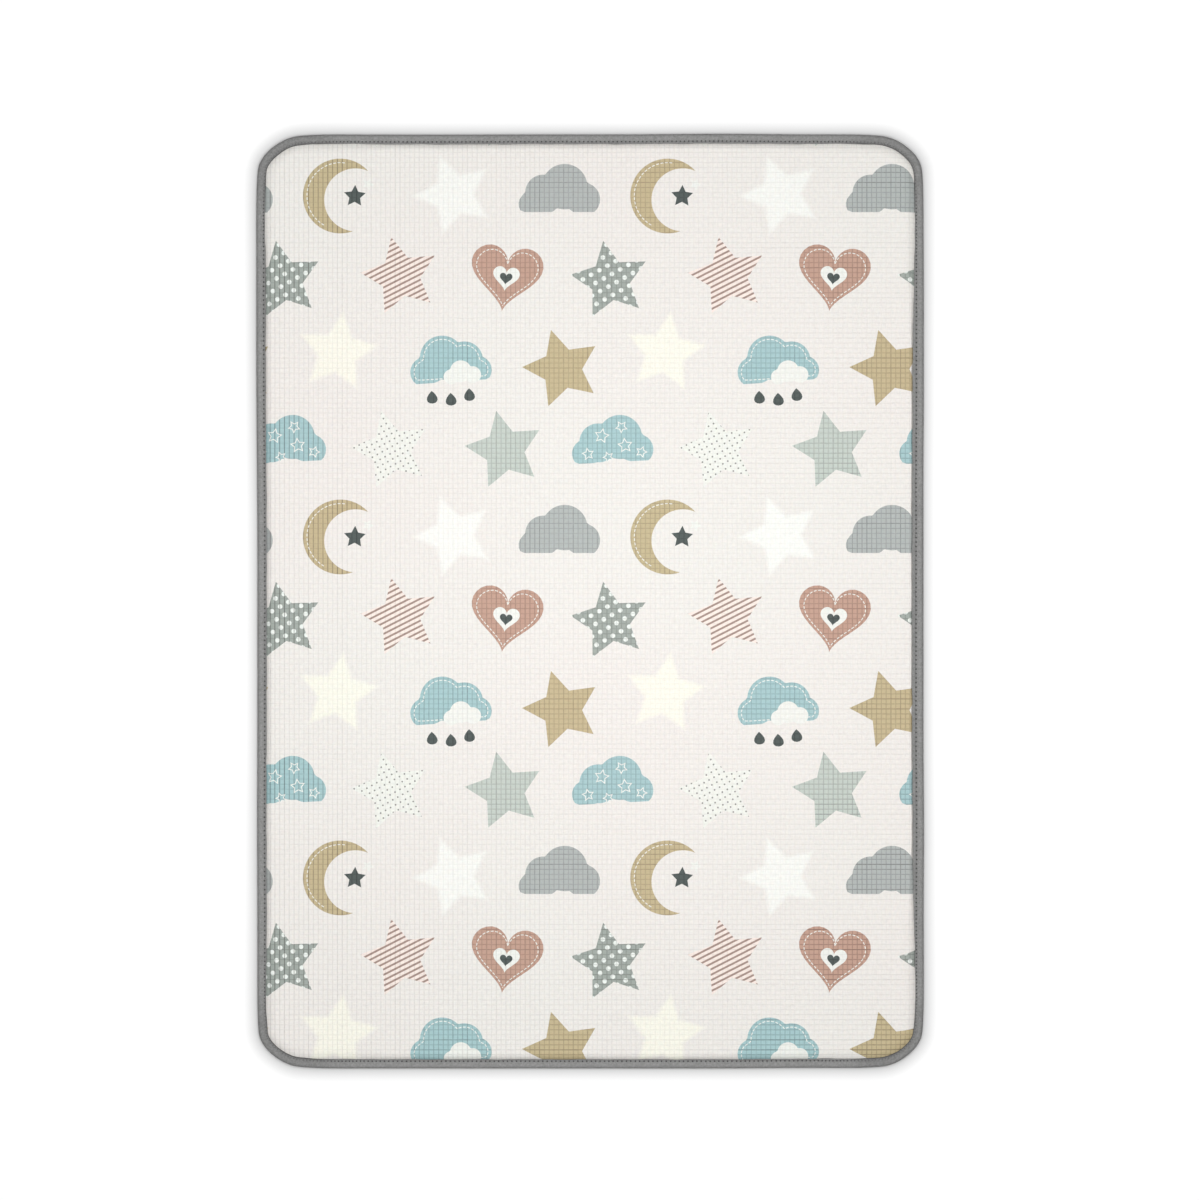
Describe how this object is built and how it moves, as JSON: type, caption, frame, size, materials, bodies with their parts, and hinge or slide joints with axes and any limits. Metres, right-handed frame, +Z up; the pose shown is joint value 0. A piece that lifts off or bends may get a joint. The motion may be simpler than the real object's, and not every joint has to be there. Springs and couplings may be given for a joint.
{
  "type": "foam play mat",
  "caption": "Flat rectangular foam floor mat with rounded corners, a printed embossed face and a woven tape binding sewn round the edge.",
  "frame": {"origin": "centre of the mat's flat underside, on the floor", "axes": "+Z up through the mat's thickness, +Y along its long sides, +X along its short sides"},
  "size_m": [1, 1.4, 0.012],
  "materials": {
    "printed_foam": "matt off-white printed film with a fine embossed grid and pastel motifs, over soft closed-cell foam",
    "binding_tape": "matt mid-grey woven tape with a row of machine stitches"
  },
  "bodies": {
    "root": {"foam_mat": "printed_foam", "edge_binding": "binding_tape"}
  },
  "joints": []
}
